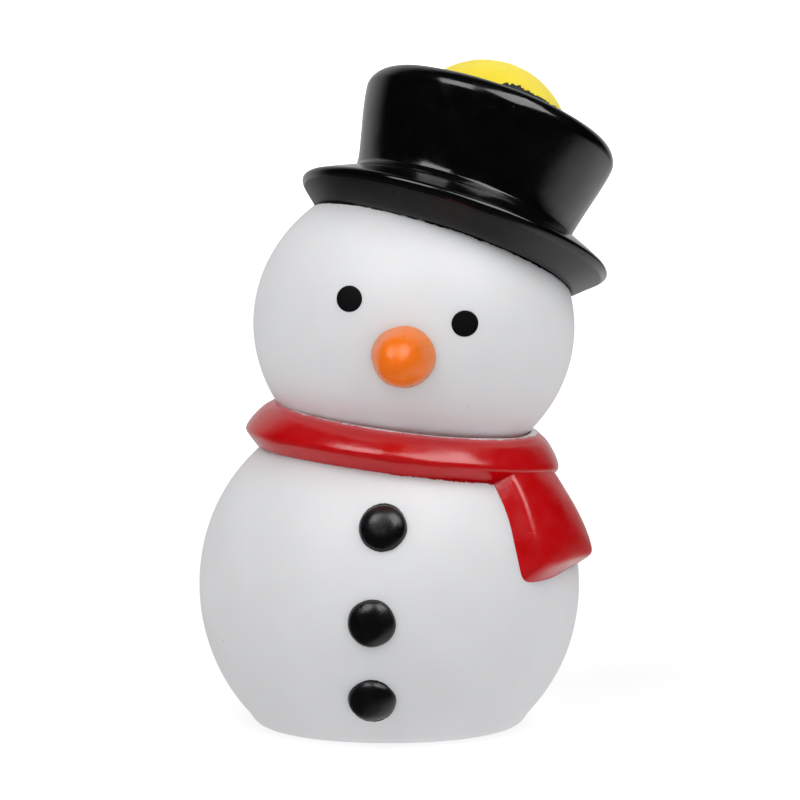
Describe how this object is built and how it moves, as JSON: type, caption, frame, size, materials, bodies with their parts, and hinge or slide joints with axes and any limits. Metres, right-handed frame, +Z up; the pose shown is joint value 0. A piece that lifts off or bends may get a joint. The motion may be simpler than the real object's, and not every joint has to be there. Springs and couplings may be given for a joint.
{
  "type": "squeeze-and-pop snowman toy",
  "caption": "Hand-sized soft vinyl snowman in a leaning top hat; squeezing its hollow belly pops a foam ball out of the crown.",
  "frame": {"origin": "middle of the flat base, which it stands on", "axes": "+Z up; the buttons face -Y; the head, scarf and hat lean towards +X"},
  "size_m": [0.0764, 0.073, 0.1232],
  "materials": {
    "white_vinyl": "soft rotomoulded vinyl, satin-matte and slightly translucent",
    "red_paint": "glossy sprayed red over vinyl, ragged at its edges",
    "black_paint": "glossy sprayed black over vinyl, with a faint orange peel",
    "eye_ink": "pad-printed black, flat and sharp-edged",
    "orange_paint": "thin sprayed orange, mottled",
    "barrel_plastic": "moulded dark plastic",
    "yellow_foam": "soft closed-cell foam with a fine grain"
  },
  "bodies": {
    "casting": {"belly_shell": "white_vinyl", "head_shell": "white_vinyl", "scarf_wrap": "red_paint", "scarf_tail": "red_paint", "hat_brim": "black_paint", "hat_crown": "black_paint", "muzzle_lip": "black_paint", "button_top": "black_paint", "button_bottom": "black_paint", "eye_right": "eye_ink", "eye_left": "eye_ink", "nose": "orange_paint", "barrel": "barrel_plastic", "ball_seat": "barrel_plastic"},
    "front_wall": {"belly_front_patch": "white_vinyl", "button_middle": "black_paint"},
    "back_wall": {"belly_back_patch": "white_vinyl"},
    "ball": {"foam_ball": "yellow_foam"}
  },
  "joints": [
    {"name": "ball_pop", "type": "slide", "parent": "casting", "child": "ball", "axis": [0.3139, 0.2334, 0.9203], "range_m": [0, 0.045], "deforming": ["muzzle_lip"]},
    {"name": "belly_squeeze", "type": "slide", "parent": "casting", "child": "front_wall", "axis": [0, 1, 0], "range_m": [0, 0.008], "stiffness_N_per_m": 1500},
    {"name": "back_squeeze", "type": "slide", "parent": "casting", "child": "back_wall", "axis": [0, -1, 0], "range_m": [0, 0.008]}
  ],
  "couplings": [
    {"joint": "back_squeeze", "follows": "belly_squeeze", "ratio": 1}
  ]
}
